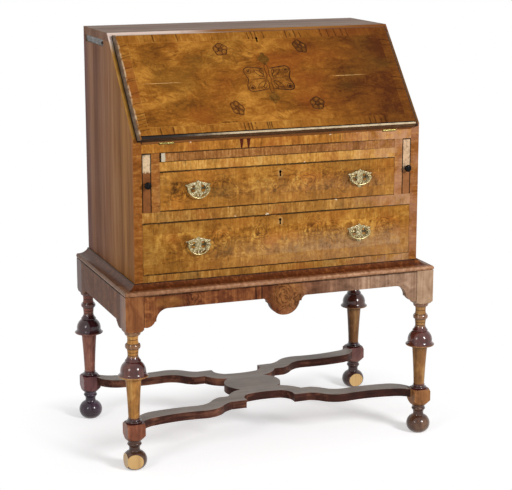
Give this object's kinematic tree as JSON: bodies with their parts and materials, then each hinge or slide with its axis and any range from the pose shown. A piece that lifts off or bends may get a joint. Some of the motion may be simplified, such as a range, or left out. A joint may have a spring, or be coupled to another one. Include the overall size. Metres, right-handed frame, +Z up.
{
  "type": "slope-front escritoire on a turned stand",
  "caption": "Sloping-fall writing desk with drawers, lopers and a writing slide, on a stand with turned legs, a shaped apron and a flat serpentine stretcher.",
  "frame": {"origin": "on the floor under the middle of the four legs", "axes": "+Z up, +X to the right of someone facing the drawers, +Y to the back"},
  "size_m": [0.857, 0.495, 1.058],
  "materials": {
    "walnut": "waxed walnut veneer",
    "turned_walnut": "polished turned wood",
    "dark_moulding": "dark stained moulding",
    "oak_lining": "dry unfinished wood",
    "brass": "worn lacquered brass",
    "iron": "dull iron",
    "ebonised": "blackened turned wood"
  },
  "bodies": {
    "case_and_stand": {"leg_front_left": "turned_walnut", "leg_front_right": "turned_walnut", "leg_back_left": "turned_walnut", "leg_back_right": "turned_walnut", "ball_feet": "turned_walnut", "stretcher_platform": "walnut", "stretcher_arms": "walnut", "front_apron": "walnut", "side_apron_left": "walnut", "side_apron_right": "walnut", "back_rail": "oak_lining", "stand_moulding_front": "walnut", "stand_moulding_left": "walnut", "stand_moulding_right": "walnut", "side_left": "walnut", "side_right": "walnut", "side_strap": "iron", "strap_stud": "brass", "top_board": "walnut", "back_boards": "oak_lining", "bottom_board": "oak_lining", "drawer_dustboard": "oak_lining", "loper_dividers": "oak_lining", "slide_dustboard": "oak_lining", "bed_board": "walnut", "bed_hinge_leaves": "brass", "nest_shelf": "oak_lining", "nest_dividers": "oak_lining"},
    "fall": {"fall_board": "walnut", "fall_nosing": "dark_moulding", "fall_hinge_leaves": "brass", "fall_lock": "iron"},
    "left_loper": {"loper_left": "walnut", "loper_knob_left": "ebonised"},
    "right_loper": {"loper_right": "walnut", "loper_knob_right": "brass"},
    "slide": {"writing_slide": "walnut"},
    "left_nest_drawer": {"nest_drawer_left": "walnut", "nest_knob_left": "brass"},
    "right_nest_drawer": {"nest_drawer_right": "walnut", "nest_knob_right": "brass"},
    "upper_drawer": {"upper_drawer_front": "walnut", "upper_drawer_sides": "oak_lining", "upper_drawer_back": "oak_lining", "upper_drawer_bottom": "oak_lining", "upper_drawer_lock": "iron", "upper_handle_plates": "brass", "upper_handle_posts": "brass"},
    "upper_left_bail": {"upper_bail_left": "brass"},
    "upper_right_bail": {"upper_bail_right": "brass"},
    "lower_drawer": {"lower_drawer_front": "walnut", "lower_drawer_sides": "oak_lining", "lower_drawer_back": "oak_lining", "lower_drawer_bottom": "oak_lining", "lower_drawer_lock": "iron", "lower_handle_plates": "brass", "lower_handle_posts": "brass"},
    "lower_left_bail": {"lower_bail_left": "brass"},
    "lower_right_bail": {"lower_bail_right": "brass"}
  },
  "joints": [
    {"name": "fall_hinge", "type": "hinge", "parent": "case_and_stand", "child": "fall", "pos_m": [0, -0.1995, 0.8095], "axis": [1, 0, 0], "range_deg": [0, 131.4]},
    {"name": "left_loper_slide", "type": "slide", "parent": "case_and_stand", "child": "left_loper", "axis": [0, -1, 0], "range_m": [0, 0.23]},
    {"name": "right_loper_slide", "type": "slide", "parent": "case_and_stand", "child": "right_loper", "axis": [0, -1, 0], "range_m": [0, 0.23]},
    {"name": "writing_slide_pull", "type": "slide", "parent": "case_and_stand", "child": "slide", "axis": [0, -1, 0], "range_m": [0, 0.25]},
    {"name": "upper_drawer_slide", "type": "slide", "parent": "case_and_stand", "child": "upper_drawer", "axis": [0, -1, 0], "range_m": [0, 0.29]},
    {"name": "lower_drawer_slide", "type": "slide", "parent": "case_and_stand", "child": "lower_drawer", "axis": [0, -1, 0], "range_m": [0, 0.29]},
    {"name": "left_nest_drawer_slide", "type": "slide", "parent": "case_and_stand", "child": "left_nest_drawer", "axis": [0, -1, 0], "range_m": [0, 0.11]},
    {"name": "right_nest_drawer_slide", "type": "slide", "parent": "case_and_stand", "child": "right_nest_drawer", "axis": [0, -1, 0], "range_m": [0, 0.11]},
    {"name": "upper_left_bail_swing", "type": "hinge", "parent": "upper_drawer", "child": "upper_left_bail", "pos_m": [-0.216, -0.2086, 0.6975], "axis": [-1, 0, 0], "range_deg": [0, 100]},
    {"name": "upper_right_bail_swing", "type": "hinge", "parent": "upper_drawer", "child": "upper_right_bail", "pos_m": [0.216, -0.2086, 0.6975], "axis": [-1, 0, 0], "range_deg": [0, 100]},
    {"name": "lower_left_bail_swing", "type": "hinge", "parent": "lower_drawer", "child": "lower_left_bail", "pos_m": [-0.216, -0.2086, 0.557], "axis": [-1, 0, 0], "range_deg": [0, 100]},
    {"name": "lower_right_bail_swing", "type": "hinge", "parent": "lower_drawer", "child": "lower_right_bail", "pos_m": [0.216, -0.2086, 0.557], "axis": [-1, 0, 0], "range_deg": [0, 100]}
  ]
}
